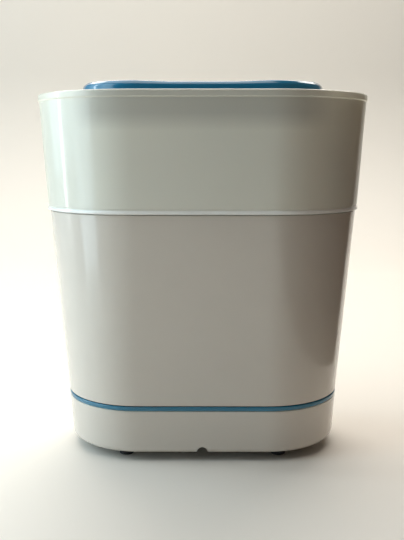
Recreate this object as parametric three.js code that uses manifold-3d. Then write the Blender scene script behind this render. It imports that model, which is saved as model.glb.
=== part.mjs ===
// Electric steam bottle sterilizer: base, two baskets, perforated plate and lid.
// Millimetres, +Z up, origin on the table under the middle, cord outlet at -Y, button at +Y.
import * as THREE from 'three';
import { mergeVertices } from 'three/addons/utils/BufferGeometryUtils.js';
import Module from 'manifold-3d';

const wasm = await Module();
wasm.setup();

// ---- Driving dimensions ---------------------------------------------------------------------

// Every level of the object is an oval: two half circles of one radius, joined by straight sides.
const HALF_SPAN = 58; // from the middle to the centre of either rounded end
const ARC_STEPS = 14; // facets round one rounded end
const GAP = 0.3; // clearance between pieces that touch
const WALL = 2.5; // moulded wall

const FOOT_HEIGHT = 8;
const BASE_HEIGHT = 40.2;
const RING_HEIGHT = 3.8;
const BASKET_HEIGHT = 170.2;
const LID_HEIGHT = 102;
const HANDLE_HEIGHT = 9.4;

const BASE_TOP_RADIUS = 70;
const BASE_DRAFT = 0.06;
const BASE_EDGE_RADIUS = 10.5;
const BASKET_DRAFT = 0.08;
const LID_DRAFT = 0.062;

const DISH_RADIUS = 42;
const DISH_DEPTH = 8;
const PLATE_THICKNESS = 1.2;
const ELEMENT_CLEARANCE = 5.3; // from the heating tube out to the nuts
const TUBE_RADIUS = 3;

const BUTTON_RADIUS = 7.5;
const BUTTON_STROKE = 1.5;
const COVER_RECESS = 13.5; // from the lower edge of the base up to the inner face of its cover
const NOTCH_RADIUS = 4.9;
const WELL_DEPTH = 26;
const SMALL_BASKET_HEIGHT = 58.5;
const SCREW_RADIUS = 1.6;
const BOARD_SCREW_RADIUS = 1.3;
const PLUNGER_RADIUS = 2;
const PLUNGER_BORE_DEPTH = 2.6;
const ROUND_STEPS = 30;
const SMALL_STEPS = 12;

// ---- Levels and radii that follow from them -------------------------------------------------

const BASE_TOP = FOOT_HEIGHT + BASE_HEIGHT;
const DECK_TOP = BASE_TOP - 2.2;
const DECK_BOTTOM = DECK_TOP - WALL;
const COVER_TOP = FOOT_HEIGHT + COVER_RECESS;
const COVER_BOTTOM = COVER_TOP - WALL;
const RING_BOTTOM = BASE_TOP + GAP;
const RING_TOP = RING_BOTTOM + RING_HEIGHT;
const BASKET_BOTTOM = RING_TOP + 0.7;
const FLOOR_BOTTOM = BASKET_BOTTOM + 5;
const BASKET_TOP = BASKET_BOTTOM + BASKET_HEIGHT;
const LID_BOTTOM = BASKET_TOP + 0.8;
const LID_TOP = LID_BOTTOM + LID_HEIGHT;
const FLANGE_BOTTOM = BASKET_TOP + GAP;
const FLANGE_TOP = FLANGE_BOTTOM + 1.8;
const SMALL_BASKET_TOP = FLANGE_BOTTOM + SMALL_BASKET_HEIGHT;

const baseRadius = (z) => BASE_TOP_RADIUS - (BASE_TOP - z) * BASE_DRAFT;
const basketRadius = (z) => BASE_TOP_RADIUS + 0.2 + (z - BASKET_BOTTOM) * BASKET_DRAFT;
const BASKET_RIM_RADIUS = basketRadius(BASKET_TOP);
const BEAD_RADIUS = BASKET_RIM_RADIUS + 2;
const lidRadius = (z) => BEAD_RADIUS - 0.6 + (z - LID_BOTTOM - 3) * LID_DRAFT;
const LIP_RADIUS = lidRadius(LID_TOP) + 0.6;
const FLANGE_RADIUS = BASKET_RIM_RADIUS - 0.7;
const smallRadius = (z) => FLANGE_RADIUS - 4 + (z - FLANGE_TOP) * 0.02;

const COVER_RADIUS = baseRadius(FOOT_HEIGHT) - BASE_EDGE_RADIUS - 1.6;
const DECK_OPENING = DISH_RADIUS + 1.5;
const FLANGE_REACH = DISH_RADIUS + 7;
const GASKET_BOTTOM = DECK_TOP + GAP;
const GASKET_TOP = GASKET_BOTTOM + 1;
const PLATE_TOP = GASKET_TOP + GAP + PLATE_THICKNESS;
const DISH_TOP = PLATE_TOP - DISH_DEPTH;
const DISH_BOTTOM = DISH_TOP - PLATE_THICKNESS;
const SPREADER_TOP = DISH_BOTTOM - GAP;
const SPREADER_BOTTOM = SPREADER_TOP - 1.5;
const STUD_CIRCLE = DISH_RADIUS - 4.5;
const STUD_RADIUS = 2;
const STUD_LENGTH = 8;
const CLAMP_TOP = DISH_BOTTOM - 1.6;
const CLAMP_BOTTOM = CLAMP_TOP - 1.4;
const NUT_RADIUS = STUD_RADIUS + 2.2; // across its corners, halved
const NUT_HEIGHT = 2.4;
const ELEMENT_RADIUS = STUD_CIRCLE - NUT_RADIUS - ELEMENT_CLEARANCE - TUBE_RADIUS; // centre line
const THERMOSTAT_RADIUS = 8;
const FUSE_RADIUS = 2;
const FUSE_LENGTH = 14;
const FUSE_PLACE = 0.62; // share of the free way from the thermostat out to the heating tube
const TAB_THICKNESS = 1.2;

const BUTTON_Z = (DECK_BOTTOM + COVER_TOP) / 2 - 2.4;
const LIGHT_RING_RADIUS = BUTTON_RADIUS + 2.3;
const LIGHT_FLANGE_RADIUS = LIGHT_RING_RADIUS + 1.7;
const FRONT_Y = baseRadius(BUTTON_Z);
const INNER_FRONT_Y = baseRadius(BUTTON_Z - LIGHT_FLANGE_RADIUS) - WALL;
const BOARD_THICKNESS = 1.6;
const BOARD_Y = FLANGE_REACH + 4; // the face that looks at the heating plate
const BOARD_FRONT_Y = BOARD_Y + BOARD_THICKNESS;
const BOARD_HALF_WIDTH = 26;
const BOARD_BOTTOM = COVER_TOP + 2;
const BOARD_TOP = DECK_BOTTOM - 3;
const BOARD_SCREW_X = BOARD_HALF_WIDTH - 4;
const SWITCH_DEPTH = 4.5;
const SWITCH_FRONT_Y = BOARD_FRONT_Y + GAP + SWITCH_DEPTH;
const PLUNGER_FRONT_Y = SWITCH_FRONT_Y + BUTTON_STROKE + 0.6;

const HANDLE_RADIUS = LIP_RADIUS - 40.4;
const HANDLE_BAND = 8;
const HANDLE_BOTTOM = LID_TOP + GAP;
const WELL_RADIUS = HANDLE_RADIUS - HANDLE_BAND - 2.2;
const WELL_FLOOR = LID_TOP - WELL_DEPTH;
const GRIP_WIDTH = 28;
const GRIP_THICKNESS = 6.5;

const FOOT_RADIUS = 7;
const FOOT_STEM_RADIUS = 3;
const FOOT_X = HALF_SPAN + 12;
const FOOT_Y = COVER_RADIUS - 11;
const COVER_SCREW_X = HALF_SPAN + 32;
const COVER_SCREW_Y = 28;
const GLAND_X = 34;
const REAR_Y = 10 - COVER_RADIUS; // the row of parts along the inside of the rear wall
const GLAND_HOLE_RADIUS = 5;

// ---- Geometry helpers -----------------------------------------------------------------------

// Joins equal corners, drops triangles without area and turns the faces outward.
function tidy(geometry) {
  const bare = geometry.clone();
  bare.deleteAttribute('normal');
  bare.deleteAttribute('uv');
  const merged = mergeVertices(bare, 1e-4);
  const position = merged.attributes.position;
  const corner = [new THREE.Vector3(), new THREE.Vector3(), new THREE.Vector3()];
  const kept = [];
  let volume = 0;
  for (let i = 0; i < merged.index.count; i += 3) {
    const [a, b, c] = [0, 1, 2].map((k) => merged.index.getX(i + k));
    if (a === b || b === c || a === c) continue;
    [a, b, c].forEach((v, k) => corner[k].fromBufferAttribute(position, v));
    volume += corner[0].dot(corner[1].clone().cross(corner[2]));
    kept.push([a, b, c]);
  }
  const outward = volume < 0 ? kept.map(([a, b, c]) => [a, c, b]) : kept;
  merged.setIndex(outward.flat());
  return merged;
}

function toSolid(geometry) {
  const clean = tidy(geometry);
  const vertProperties = new Float32Array(clean.attributes.position.array);
  const triVerts = new Uint32Array(clean.index.array);
  return new wasm.Manifold(new wasm.Mesh({ numProp: 3, vertProperties, triVerts }));
}

function toGeometry(solid) {
  const mesh = solid.getMesh();
  const geometry = new THREE.BufferGeometry();
  geometry.setAttribute('position', new THREE.BufferAttribute(mesh.vertProperties, 3));
  geometry.setIndex(new THREE.BufferAttribute(mesh.triVerts, 1));
  return geometry;
}

// One solid from a body, the pieces joined to it and the pieces then cut out of it.
function shape(body, { joined = [], cut = [] }) {
  let solid = toSolid(body);
  for (const piece of joined) solid = solid.add(toSolid(piece));
  for (const piece of cut) solid = solid.subtract(toSolid(piece));
  return toGeometry(solid);
}

// Carries a section of [radius, height] points round the oval plan. The section either closes
// on itself or starts and ends at radius zero.
function ovalSweep(section, halfSpan = HALF_SPAN, arcSteps = ARC_STEPS) {
  const stations = [];
  for (const side of [1, -1]) {
    for (let i = 0; i <= arcSteps; i += 1) {
      const angle = (side * Math.PI) / 2 + (Math.PI * i) / arcSteps - Math.PI;
      stations.push([side * halfSpan, Math.cos(angle), Math.sin(angle)]);
    }
  }
  const corner = ([cx, c, s], [radius, z]) => [cx + radius * c, radius * s, z];
  const points = [];
  for (let i = 0; i < stations.length; i += 1) {
    const here = stations[i];
    const next = stations[(i + 1) % stations.length];
    for (let j = 0; j + 1 < section.length; j += 1) {
      const quad = [
        corner(here, section[j]),
        corner(next, section[j]),
        corner(next, section[j + 1]),
        corner(here, section[j + 1]),
      ];
      points.push(quad[0], quad[1], quad[2], quad[0], quad[2], quad[3]);
    }
  }
  const geometry = new THREE.BufferGeometry();
  geometry.setAttribute('position', new THREE.Float32BufferAttribute(points.flat(), 3));
  return tidy(geometry);
}

const closed = (section) => [...section, section[0]];

function turned(section, steps = ROUND_STEPS) {
  const profile = section.map(([radius, z]) => new THREE.Vector2(radius, z));
  return tidy(new THREE.LatheGeometry(profile, steps).rotateX(Math.PI / 2));
}

function cylinder(radius, bottom, top, x = 0, y = 0, steps = SMALL_STEPS) {
  const rod = new THREE.CylinderGeometry(radius, radius, top - bottom, steps);
  return rod.rotateX(Math.PI / 2).translate(x, y, (bottom + top) / 2);
}

// A rod along Y from one y to another.
function crossRod(radius, from, to, x, z, steps = SMALL_STEPS) {
  const rod = new THREE.CylinderGeometry(radius, radius, to - from, steps);
  return rod.translate(x, (from + to) / 2, z);
}

function box([x0, x1], [y0, y1], [z0, z1]) {
  const block = new THREE.BoxGeometry(x1 - x0, y1 - y0, z1 - z0);
  return block.translate((x0 + x1) / 2, (y0 + y1) / 2, (z0 + z1) / 2);
}

function arc(cx, cz, radius, fromDegrees, toDegrees, steps) {
  return Array.from({ length: steps + 1 }, (_, i) => {
    const angle = THREE.MathUtils.degToRad(fromDegrees + ((toDegrees - fromDegrees) * i) / steps);
    return [cx + radius * Math.cos(angle), cz + radius * Math.sin(angle)];
  });
}

// A round rod bent along a smooth line through the points.
function bentRod(points, radius, steps, sides) {
  const path = new THREE.CatmullRomCurve3(points.map((p) => new THREE.Vector3(...p)));
  const section = new THREE.Shape();
  for (let i = 0; i < sides; i += 1) {
    const angle = (2 * Math.PI * i) / sides;
    const step = i === 0 ? 'moveTo' : 'lineTo';
    section[step](radius * Math.cos(angle), radius * Math.sin(angle));
  }
  return tidy(new THREE.ExtrudeGeometry(section, { steps, bevelEnabled: false, extrudePath: path }));
}

// Rows of slots lying along Y, cut through the levels from bottom to top.
function floorSlots(bottom, top, { rows, columns, pitchX, pitchY, length, width }) {
  const slots = [];
  for (let row = 0; row < rows; row += 1) {
    for (let column = 0; column < columns; column += 1) {
      const x = (column - (columns - 1) / 2) * pitchX;
      const y = (row - (rows - 1) / 2) * pitchY;
      const spanX = [x - width / 2, x + width / 2];
      slots.push(box(spanX, [y - length / 2, y + length / 2], [bottom, top]));
    }
  }
  return slots;
}

const corners = (x, y) => [[x, y], [-x, y], [-x, -y], [x, -y]];
const around = (count, radius) => Array.from({ length: count }, (_, i) => {
  const angle = (2 * Math.PI * i) / count;
  return [radius * Math.cos(angle), radius * Math.sin(angle)];
});

// ---- Base shell -----------------------------------------------------------------------------

function baseHousing() {
  const edgeZ = FOOT_HEIGHT + BASE_EDGE_RADIUS;
  const edgeX = baseRadius(edgeZ) - BASE_EDGE_RADIUS;
  const innerEdge = BASE_EDGE_RADIUS - WALL;
  const seatTop = FLOOR_BOTTOM - GAP;
  const seatOuter = basketRadius(BASKET_BOTTOM) - WALL - 1.2;
  const lipOuter = COVER_RADIUS + 2.4;
  const section = [
    [0, DECK_TOP],
    [seatOuter - 3.4, DECK_TOP],
    [seatOuter - 3, seatTop],
    [seatOuter, seatTop],
    [seatOuter, BASE_TOP],
    [BASE_TOP_RADIUS - 0.5, BASE_TOP],
    [BASE_TOP_RADIUS, BASE_TOP - 0.5],
    ...arc(edgeX, edgeZ, BASE_EDGE_RADIUS, 0, -90, 5),
    [COVER_RADIUS + 0.5, FOOT_HEIGHT],
    [COVER_RADIUS + 0.5, COVER_TOP + GAP],
    [lipOuter, COVER_TOP + GAP],
    [lipOuter, edgeZ - innerEdge + 1],
    ...arc(edgeX, edgeZ, innerEdge, -60, 0, 3),
    [BASE_TOP_RADIUS - WALL - 0.4, DECK_BOTTOM],
    [0, DECK_BOTTOM],
  ];
  const bossTop = DECK_BOTTOM + 1;
  const bosses = corners(COVER_SCREW_X, COVER_SCREW_Y).map(([x, y]) => (
    cylinder(4.5, COVER_TOP + GAP, bossTop, x, y)
  ));
  const pilots = corners(COVER_SCREW_X, COVER_SCREW_Y).map(([x, y]) => (
    cylinder(SCREW_RADIUS + GAP, COVER_TOP, DECK_BOTTOM - 4, x, y)
  ));
  const boardZ = (BOARD_TOP + BOARD_BOTTOM) / 2;
  const wallY = baseRadius(boardZ) - WALL / 2;
  const boardBosses = [-1, 1].map((side) => (
    crossRod(3.2, BOARD_FRONT_Y + GAP, wallY, side * BOARD_SCREW_X, boardZ)
  ));
  const pilotRadius = BOARD_SCREW_RADIUS + GAP;
  const boardPilots = [-1, 1].map((side) => (
    crossRod(pilotRadius, BOARD_FRONT_Y, wallY - 3, side * BOARD_SCREW_X, boardZ)
  ));
  const wallCut = FRONT_Y + 6;
  return shape(ovalSweep(section), {
    joined: [...bosses, ...boardBosses],
    cut: [
      cylinder(DECK_OPENING, DECK_BOTTOM - 1, DECK_TOP + 1, 0, 0, ROUND_STEPS),
      crossRod(LIGHT_RING_RADIUS + GAP, INNER_FRONT_Y - 2, wallCut, 0, BUTTON_Z, 24),
      crossRod(NOTCH_RADIUS, -wallCut, 6 - COVER_RADIUS, 0, FOOT_HEIGHT, 16),
      ...pilots,
      ...boardPilots,
    ],
  });
}

function accentRing() {
  const inner = basketRadius(BASKET_BOTTOM) - WALL - 0.9;
  const outer = BASE_TOP_RADIUS + 0.3;
  return ovalSweep(closed([
    [inner, RING_BOTTOM],
    [outer - 0.6, RING_BOTTOM],
    [outer, RING_BOTTOM + 0.7],
    [outer, RING_TOP - 0.7],
    [outer - 0.6, RING_TOP],
    [inner, RING_TOP],
  ]));
}

function bottomCover() {
  const plate = ovalSweep([
    [0, COVER_BOTTOM],
    [COVER_RADIUS - 0.5, COVER_BOTTOM],
    [COVER_RADIUS, COVER_BOTTOM + 0.5],
    [COVER_RADIUS, COVER_TOP],
    [0, COVER_TOP],
  ]);
  const posts = corners(FOOT_X, FOOT_Y).map(([x, y]) => (
    cylinder(FOOT_RADIUS + 0.4, FOOT_HEIGHT + GAP, COVER_BOTTOM + 1, x, y, 16)
  ));
  const sockets = corners(FOOT_X, FOOT_Y).map(([x, y]) => (
    cylinder(FOOT_STEM_RADIUS + GAP, FOOT_HEIGHT, FOOT_HEIGHT + 8, x, y)
  ));
  const holes = corners(COVER_SCREW_X, COVER_SCREW_Y).map(([x, y]) => (
    cylinder(SCREW_RADIUS + GAP, COVER_BOTTOM - 1, COVER_TOP + 1, x, y)
  ));
  const winderRadius = COVER_RADIUS * 0.4;
  const winderBottom = FOOT_HEIGHT + 2;
  const winder = ovalSweep(closed([
    [winderRadius, winderBottom],
    [winderRadius + WALL, winderBottom],
    [winderRadius + WALL, COVER_BOTTOM + 1],
    [winderRadius, COVER_BOTTOM + 1],
  ]));
  const lugs = [-1, 1].flatMap((side) => {
    const edge = side * (winderRadius + 1);
    const reach = side * (winderRadius + 10);
    const spanY = [Math.min(edge, reach), Math.max(edge, reach)];
    const bottom = [winderBottom, winderBottom + 1.8];
    return [-1, 1].map((end) => box([end * HALF_SPAN - 7, end * HALF_SPAN + 7], spanY, bottom));
  });
  return shape(plate, {
    joined: [...posts, winder, ...lugs],
    cut: [
      ...sockets,
      ...holes,
      cylinder(GLAND_HOLE_RADIUS, COVER_BOTTOM - 1, COVER_TOP + 1, GLAND_X, REAR_Y, 16),
    ],
  });
}

function foot() {
  return turned([
    [0, 0],
    [FOOT_RADIUS - 0.8, 0],
    [FOOT_RADIUS, 0.8],
    [FOOT_RADIUS, FOOT_HEIGHT],
    [FOOT_STEM_RADIUS, FOOT_HEIGHT],
    [FOOT_STEM_RADIUS, FOOT_HEIGHT + 7],
    [0, FOOT_HEIGHT + 7],
  ], 16);
}

function cordGland() {
  const bore = GLAND_HOLE_RADIUS - 1.6;
  const flange = GLAND_HOLE_RADIUS + 2.5;
  const neck = GLAND_HOLE_RADIUS - GAP;
  return turned(closed([
    [bore, COVER_BOTTOM - 2.5],
    [flange, COVER_BOTTOM - 2.5],
    [flange, COVER_BOTTOM - GAP],
    [neck, COVER_BOTTOM - GAP],
    [neck, COVER_TOP + GAP],
    [flange, COVER_TOP + GAP],
    [flange, COVER_TOP + 2.5],
    [bore, COVER_TOP + 2.5],
  ]), 16);
}

// A screw standing head down, its head face at height zero.
function screw(shankRadius, headRadius, headHeight, length) {
  return turned([
    [0, headHeight * 0.45],
    [headRadius * 0.4, headHeight * 0.45],
    [headRadius * 0.4, 0],
    [headRadius * 0.8, 0],
    [headRadius, headHeight * 0.4],
    [headRadius, headHeight],
    [shankRadius, headHeight],
    [shankRadius, headHeight + length],
    [0, headHeight + length + shankRadius],
  ], 10);
}

// ---- Heating parts --------------------------------------------------------------------------

function heatingPlate() {
  const inner = DISH_RADIUS - PLATE_THICKNESS;
  const dish = turned([
    [0, DISH_TOP],
    [inner - 2, DISH_TOP],
    [inner, DISH_TOP + 2],
    [inner + 0.4, PLATE_TOP],
    [FLANGE_REACH, PLATE_TOP],
    [FLANGE_REACH, PLATE_TOP - PLATE_THICKNESS],
    [DISH_RADIUS + 0.3, PLATE_TOP - PLATE_THICKNESS],
    [DISH_RADIUS, DISH_TOP + 1.4],
    [DISH_RADIUS - 2, DISH_BOTTOM],
    [0, DISH_BOTTOM],
  ]);
  const studs = around(4, STUD_CIRCLE).map(([x, y]) => (
    cylinder(STUD_RADIUS, DISH_BOTTOM - STUD_LENGTH, DISH_BOTTOM + 0.6, x, y)
  ));
  return shape(dish, { joined: studs });
}

function plateGasket() {
  return turned(closed([
    [DECK_OPENING + GAP, GASKET_BOTTOM],
    [FLANGE_REACH, GASKET_BOTTOM],
    [FLANGE_REACH, GASKET_TOP],
    [DECK_OPENING + GAP, GASKET_TOP],
  ]));
}

function plateClamp() {
  const inner = STUD_CIRCLE - 3.2;
  const bend = DISH_RADIUS + 1;
  const rimTop = DECK_BOTTOM - GAP;
  const ring = turned(closed([
    [inner, CLAMP_BOTTOM],
    [bend + 1.4, CLAMP_BOTTOM],
    [bend + 1.4, rimTop - 1.4],
    [FLANGE_REACH + 2, rimTop - 1.4],
    [FLANGE_REACH + 2, rimTop],
    [bend, rimTop],
    [bend, CLAMP_TOP],
    [inner, CLAMP_TOP],
  ]));
  const holes = around(4, STUD_CIRCLE).map(([x, y]) => (
    cylinder(STUD_RADIUS + GAP, CLAMP_BOTTOM - 1, CLAMP_TOP + 1, x, y)
  ));
  return shape(ring, { cut: holes });
}

function nut() {
  const hexagon = new THREE.Shape();
  around(6, NUT_RADIUS).forEach(([x, y], i) => hexagon[i ? 'lineTo' : 'moveTo'](x, y));
  const bore = new THREE.Path();
  bore.absarc(0, 0, STUD_RADIUS + GAP, 0, 2 * Math.PI, true);
  hexagon.holes.push(bore);
  const settings = { depth: NUT_HEIGHT, bevelEnabled: false, curveSegments: 5 };
  return new THREE.ExtrudeGeometry(hexagon, settings);
}

function heatSpreader() {
  const radius = STUD_CIRCLE - 4.5;
  return cylinder(radius, SPREADER_BOTTOM, SPREADER_TOP, 0, 0, ROUND_STEPS);
}

const TUBE_Z = SPREADER_BOTTOM - GAP - TUBE_RADIUS;
const TUBE_END_ANGLE = 16; // degrees either side of the rear
const TUBE_END_Z = COVER_TOP + 4;

function heatingElement() {
  const points = [];
  const sweep = 360 - 2 * TUBE_END_ANGLE;
  const onCircle = (degrees, z) => {
    const angle = THREE.MathUtils.degToRad(degrees);
    return [ELEMENT_RADIUS * Math.cos(angle), ELEMENT_RADIUS * Math.sin(angle), z];
  };
  const first = -90 + TUBE_END_ANGLE;
  points.push(onCircle(first, TUBE_END_Z), onCircle(first, TUBE_Z - 3.5));
  for (let i = 1; i <= 15; i += 1) {
    points.push(onCircle(first + (sweep * i) / 16, TUBE_Z));
  }
  points.push(onCircle(first + sweep, TUBE_Z - 3.5), onCircle(first + sweep, TUBE_END_Z));
  return bentRod(points, TUBE_RADIUS - 0.2, 38, 8);
}

const BRACKET_CLEARANCE = 4.3; // above the bottom cover
const BRACKET_BOTTOM = COVER_TOP + BRACKET_CLEARANCE;

function thermostatBracket() {
  const tabTop = CLAMP_BOTTOM - GAP;
  const tabBottom = tabTop - TAB_THICKNESS;
  const tabEnd = STUD_CIRCLE + 4;
  const wallEnd = STUD_CIRCLE - NUT_RADIUS - 0.5;
  const outline = new THREE.Shape([
    [-tabEnd, tabTop], [-tabEnd, tabBottom], [-wallEnd, tabBottom], [-wallEnd, BRACKET_BOTTOM],
    [wallEnd, BRACKET_BOTTOM], [wallEnd, tabBottom], [tabEnd, tabBottom], [tabEnd, tabTop],
    [wallEnd - TAB_THICKNESS, tabTop], [wallEnd - TAB_THICKNESS, BRACKET_BOTTOM + TAB_THICKNESS],
    [TAB_THICKNESS - wallEnd, BRACKET_BOTTOM + TAB_THICKNESS], [TAB_THICKNESS - wallEnd, tabTop],
  ].map(([x, z]) => new THREE.Vector2(x, z)));
  const halfWidth = 5;
  const strip = new THREE.ExtrudeGeometry(outline, { depth: 2 * halfWidth, bevelEnabled: false });
  strip.rotateX(Math.PI / 2).translate(0, halfWidth, 0);
  const holes = [-1, 1].map((side) => (
    cylinder(STUD_RADIUS + GAP, tabBottom - 1, tabTop + 1, side * STUD_CIRCLE, 0)
  ));
  return shape(strip, { cut: holes });
}

function thermostat() {
  const bottom = BRACKET_BOTTOM + TAB_THICKNESS + GAP;
  const top = SPREADER_BOTTOM - GAP;
  const tabY = [-THERMOSTAT_RADIUS - 4, THERMOSTAT_RADIUS + 4];
  return shape(cylinder(THERMOSTAT_RADIUS, bottom, top, 0, 0, 20), {
    joined: [box([-2.5, 2.5], tabY, [bottom + 2, bottom + 2.8])],
  });
}

function thermalFuse() {
  const rod = new THREE.CylinderGeometry(FUSE_RADIUS, FUSE_RADIUS, FUSE_LENGTH, SMALL_STEPS);
  const tubeInner = ELEMENT_RADIUS - TUBE_RADIUS;
  const nearest = THERMOSTAT_RADIUS + FUSE_RADIUS;
  const farthest = Math.sqrt(tubeInner ** 2 - (FUSE_LENGTH / 2) ** 2) - FUSE_RADIUS;
  const y = THREE.MathUtils.lerp(nearest, farthest, FUSE_PLACE);
  return rod.rotateZ(Math.PI / 2).translate(0, y, SPREADER_BOTTOM - GAP - FUSE_RADIUS);
}

// ---- Control parts --------------------------------------------------------------------------

function circuitBoard() {
  const boardZ = (BOARD_TOP + BOARD_BOTTOM) / 2;
  const sheet = box(
    [-BOARD_HALF_WIDTH, BOARD_HALF_WIDTH],
    [BOARD_Y, BOARD_FRONT_Y],
    [BOARD_BOTTOM, BOARD_TOP],
  );
  const holeRadius = BOARD_SCREW_RADIUS + GAP;
  const holes = [-1, 1].map((side) => (
    crossRod(holeRadius, BOARD_Y - 1, BOARD_FRONT_Y + 1, side * BOARD_SCREW_X, boardZ)
  ));
  return shape(sheet, { cut: holes });
}

function relay() {
  const spanX = [8 - BOARD_HALF_WIDTH, 22 - BOARD_HALF_WIDTH];
  return box(spanX, [BOARD_Y - GAP - 8, BOARD_Y - GAP], [BOARD_BOTTOM, BOARD_BOTTOM + 10]);
}

function switchHousing() {
  const half = 3.6;
  const body = box(
    [-half, half],
    [BOARD_FRONT_Y + GAP, SWITCH_FRONT_Y],
    [BUTTON_Z - half, BUTTON_Z + half],
  );
  const boreEnd = SWITCH_FRONT_Y - PLUNGER_BORE_DEPTH;
  const bore = crossRod(PLUNGER_RADIUS + GAP, boreEnd, SWITCH_FRONT_Y + 1, 0, BUTTON_Z);
  return shape(body, { cut: [bore] });
}

function switchPlunger() {
  const back = SWITCH_FRONT_Y - PLUNGER_BORE_DEPTH + GAP + BUTTON_STROKE + 0.2;
  return crossRod(PLUNGER_RADIUS, back, PLUNGER_FRONT_Y, 0, BUTTON_Z);
}

function powerButton() {
  const stemBack = PLUNGER_FRONT_Y + GAP;
  const face = FRONT_Y + 0.8;
  const skirt = face - 5;
  const section = [
    [0, stemBack],
    [2.4, stemBack],
    [2.4, skirt],
    [BUTTON_RADIUS, skirt],
    [BUTTON_RADIUS, face - 0.7],
    [BUTTON_RADIUS - 0.7, face],
    [0, face - 0.5],
  ];
  return turned(section, 20).rotateX(-Math.PI / 2).translate(0, 0, BUTTON_Z);
}

function lightRing() {
  const face = FRONT_Y + 0.5;
  const flangeFront = INNER_FRONT_Y - GAP;
  const bore = BUTTON_RADIUS + GAP;
  const section = closed([
    [bore, flangeFront - 1.4],
    [LIGHT_FLANGE_RADIUS, flangeFront - 1.4],
    [LIGHT_FLANGE_RADIUS, flangeFront],
    [LIGHT_RING_RADIUS, flangeFront],
    [LIGHT_RING_RADIUS, face - 0.6],
    [LIGHT_RING_RADIUS - 0.6, face],
    [bore, face],
  ]);
  return turned(section, 24).rotateX(-Math.PI / 2).translate(0, 0, BUTTON_Z);
}

function powerLamp() {
  const section = [
    [0, BOARD_FRONT_Y + GAP],
    [1.9, BOARD_FRONT_Y + GAP],
    [1.9, BOARD_FRONT_Y + GAP + 1],
    [1.5, BOARD_FRONT_Y + GAP + 1],
    [1.5, BOARD_FRONT_Y + GAP + 3.2],
    [0.8, BOARD_FRONT_Y + GAP + 4.2],
    [0, BOARD_FRONT_Y + GAP + 4.4],
  ];
  return turned(section, 10).rotateX(-Math.PI / 2).translate(BUTTON_RADIUS + 1.2, 0, BUTTON_Z);
}

const BLOCK_HALF_LENGTH = 15;
const BLOCK_TOP = COVER_TOP + 8.5;

function terminalBlock() {
  const body = box(
    [-BLOCK_HALF_LENGTH, BLOCK_HALF_LENGTH],
    [REAR_Y - 5, REAR_Y + 5],
    [COVER_TOP + GAP, BLOCK_TOP],
  );
  const wells = [-10, 0, 10].map((x) => cylinder(2.7, BLOCK_TOP - 4, BLOCK_TOP + 1, x, REAR_Y));
  return shape(body, { cut: wells });
}

const WIRE_RADIUS = 1.1;
const wire = (points) => bentRod(points, WIRE_RADIUS, 14, 6);

function wires() {
  const start = (x) => [[x, REAR_Y, BLOCK_TOP - 3], [x, REAR_Y, BLOCK_TOP - 0.5]];
  const rise = (x) => [x, REAR_Y, BLOCK_TOP + 3.5];
  const sideX = FLANGE_REACH + 3;
  const runZ = COVER_TOP + 6;
  const tubeX = ELEMENT_RADIUS * Math.sin(THREE.MathUtils.degToRad(TUBE_END_ANGLE));
  const tubeY = -ELEMENT_RADIUS * Math.cos(THREE.MathUtils.degToRad(TUBE_END_ANGLE));
  const underTube = TUBE_END_Z - GAP - 0.2;
  const boardEnd = BOARD_Y - GAP - 0.2;
  const boardZ = BOARD_BOTTOM + 2.6;
  return {
    live_wire: wire([
      ...start(-10), rise(-10), [-26, REAR_Y + 2, BLOCK_TOP + 2], [-sideX, -18, runZ],
      [-sideX, 20, runZ], [-BOARD_HALF_WIDTH + 3, boardEnd - 8, boardZ],
      [-BOARD_HALF_WIDTH + 3, boardEnd, boardZ],
    ]),
    neutral_wire: wire([
      ...start(10), rise(10), [tubeX + 8, tubeY - 9, BLOCK_TOP], [tubeX + 4, tubeY - 3, COVER_TOP + 2],
      [tubeX, tubeY, COVER_TOP + 1.6], [tubeX, tubeY, underTube],
    ]),
    switched_wire: wire([
      [BOARD_HALF_WIDTH - 8, boardEnd, boardZ], [BOARD_HALF_WIDTH - 8, boardEnd - 6, boardZ],
      [sideX - 8, 24, runZ], [sideX - 8, -12, runZ - 2], [20, tubeY + 6, COVER_TOP + 1.8],
      [0, tubeY + 4, COVER_TOP + 1.6], [-tubeX, tubeY, COVER_TOP + 1.6], [-tubeX, tubeY, underTube],
    ]),
    earth_wire: wire([
      ...start(0), rise(0), [-4, REAR_Y + 6, BLOCK_TOP + 2], [-9, REAR_Y + 7, CLAMP_BOTTOM - 3],
      [-9, 1 - STUD_CIRCLE, CLAMP_BOTTOM - 2], [-9, 1 - STUD_CIRCLE, CLAMP_BOTTOM - GAP - 0.2],
    ]),
  };
}

// ---- Baskets and plate ----------------------------------------------------------------------

function largeBasket() {
  const floorTop = FLOOR_BOTTOM + WALL;
  const inner = (z) => basketRadius(z) - WALL;
  const body = ovalSweep([
    [0, floorTop],
    [inner(floorTop) - 2, floorTop],
    [inner(floorTop) + 0.2, floorTop + 2.2],
    [inner(BASKET_TOP), BASKET_TOP],
    [BASKET_RIM_RADIUS - 0.6, BASKET_TOP],
    [BASKET_RIM_RADIUS, BASKET_TOP - 0.6],
    [basketRadius(BASKET_BOTTOM + 0.6), BASKET_BOTTOM + 0.6],
    [basketRadius(BASKET_BOTTOM) - 0.6, BASKET_BOTTOM],
    [inner(BASKET_BOTTOM), BASKET_BOTTOM],
    [inner(FLOOR_BOTTOM), FLOOR_BOTTOM],
    [0, FLOOR_BOTTOM],
  ]);
  const slots = floorSlots(FLOOR_BOTTOM - 1, floorTop + 1, {
    rows: 3, columns: 15, pitchX: (2 * HALF_SPAN) / 12, pitchY: 30, length: 24, width: 4,
  });
  return shape(body, { cut: slots });
}

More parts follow.
